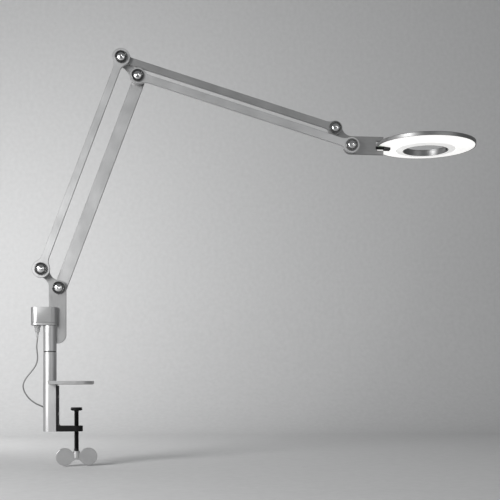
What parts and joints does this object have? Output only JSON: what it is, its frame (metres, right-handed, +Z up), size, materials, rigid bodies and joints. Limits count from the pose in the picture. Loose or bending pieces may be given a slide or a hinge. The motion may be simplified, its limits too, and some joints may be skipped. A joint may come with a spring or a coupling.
{
  "type": "desk lamp",
  "caption": "Clamp-on architect desk lamp with a swivelling post, two self-levelling parallel arms and a flat ring light with a central hole.",
  "frame": {"origin": "middle of the clamp's seat on the desk top, on the clamp screw's axis", "axes": "+Z up; +X over the desk towards the light; +Y to the lamp's back"},
  "size_m": [0.9191, 0.2031, 0.828],
  "materials": {
    "satin": "satin, bead-blasted",
    "chrome": "polished",
    "steel": "machined",
    "black_metal": "black coated steel",
    "black_plastic": "matte black",
    "nylon": "natural nylon",
    "rubber": "matte",
    "clear_grip": "translucent grey moulding",
    "board": "circuit board",
    "opal": "opal light guide",
    "cord_jacket": "grey jacket"
  },
  "bodies": {
    "clamp": {"clamp_body": "satin", "top_jaw": "satin", "jaw_pad": "rubber", "lower_jaw": "black_metal", "jaw_screw_1": "steel", "jaw_screw_2": "steel", "swivel_spindle": "steel", "cord": "cord_jacket", "cord_coil": "cord_jacket", "coil_tie": "black_plastic", "cord_connector": "black_plastic"},
    "clamp_pad": {"clamp_pad": "black_metal", "clamp_pad_rubber": "rubber"},
    "clamp_screw": {"clamp_screw": "black_metal", "clamp_handle": "satin"},
    "post": {"upper_post": "satin", "swivel_bush": "black_plastic", "bracket_plate": "satin", "bracket_screw_1": "steel", "bracket_screw_2": "steel", "driver_housing": "satin", "housing_base": "satin", "driver_board": "board", "dc_socket": "black_plastic", "cord_plug": "clear_grip", "plug_boot": "clear_grip", "shoulder_cap": "chrome", "shoulder_pin": "steel", "shoulder_washer": "nylon", "lower_rod_foot_cap": "chrome", "lower_rod_foot_pin": "steel", "lower_rod_spacer": "satin"},
    "lower_arm": {"lower_arm": "satin"},
    "lower_rod": {"lower_rod": "satin"},
    "elbow_link": {"elbow_link": "satin", "elbow_cap": "chrome", "elbow_pin": "steel", "elbow_spacer": "satin", "elbow_washer": "nylon", "elbow_rod_cap": "chrome", "elbow_rod_pin": "steel", "elbow_rod_front_washer": "nylon", "elbow_rod_back_washer": "nylon"},
    "upper_arm": {"upper_arm": "satin"},
    "upper_rod": {"upper_rod": "satin"},
    "head_link": {"head_link": "satin", "head_cap": "chrome", "head_pin": "steel", "head_spacer": "satin", "head_rod_cap": "chrome", "head_rod_pin": "steel", "head_rod_washer": "nylon", "roll_pin": "black_metal"},
    "head": {"head_housing": "satin", "light_guide": "opal", "inner_trim": "opal", "head_collar": "steel", "led_board": "board", "pivot_block": "black_metal"},
    "switch": {"switch_button": "black_plastic"}
  },
  "joints": [
    {"name": "swivel", "type": "hinge", "parent": "clamp", "child": "post", "pos_m": [-0.052, 0, 0.0642], "axis": [0, 0, 1], "range_deg": [-150, 150]},
    {"name": "shoulder", "type": "hinge", "parent": "post", "child": "lower_arm", "pos_m": [-0.035, 0, 0.192], "axis": [0, 1, 0], "range_deg": [-30, 50]},
    {"name": "lower_rod_pivot", "type": "hinge", "parent": "post", "child": "lower_rod", "pos_m": [-0.0677, 0, 0.22768], "axis": [0, 1, 0], "range_deg": [-30, 50]},
    {"name": "elbow_level", "type": "hinge", "parent": "lower_arm", "child": "elbow_link", "pos_m": [0.12149, 0, 0.61391], "axis": [0, 1, 0], "range_deg": [-50, 30]},
    {"name": "elbow", "type": "hinge", "parent": "elbow_link", "child": "upper_arm", "pos_m": [0.12149, 0, 0.61391], "axis": [0, 1, 0], "range_deg": [-90, 4]},
    {"name": "upper_rod_pivot", "type": "hinge", "parent": "elbow_link", "child": "upper_rod", "pos_m": [0.08879, 0, 0.6496], "axis": [0, 1, 0], "range_deg": [-90, 4]},
    {"name": "head_level", "type": "hinge", "parent": "upper_arm", "child": "head_link", "pos_m": [0.55318, 0, 0.48686], "axis": [0, 1, 0], "range_deg": [-4, 90]},
    {"name": "head_roll", "type": "hinge", "parent": "head_link", "child": "head", "pos_m": [0.60558, 0, 0.48546], "axis": [1, 0, 0], "range_deg": [-20, 20]},
    {"name": "switch_press", "type": "slide", "parent": "head", "child": "switch", "axis": [1, 0, 0], "range_m": [0, 0.001], "stiffness_N_per_m": 400},
    {"name": "clamp_travel", "type": "slide", "parent": "clamp", "child": "clamp_pad", "axis": [0, 0, 1], "range_m": [-0.029, 0.032]},
    {"name": "clamp_turn", "type": "hinge", "parent": "clamp_pad", "child": "clamp_screw", "pos_m": [0, 0, -0.0455], "axis": [0, 0, 1], "range_deg": [-7000, 7700]}
  ],
  "couplings": [
    {"joint": "lower_rod_pivot", "follows": "shoulder", "ratio": 1},
    {"joint": "elbow_level", "follows": "shoulder", "ratio": -1},
    {"joint": "upper_rod_pivot", "follows": "elbow", "ratio": 1},
    {"joint": "head_level", "follows": "elbow", "ratio": -1},
    {"joint": "clamp_turn", "follows": "clamp_travel", "rad_per_m": 4188.8}
  ]
}
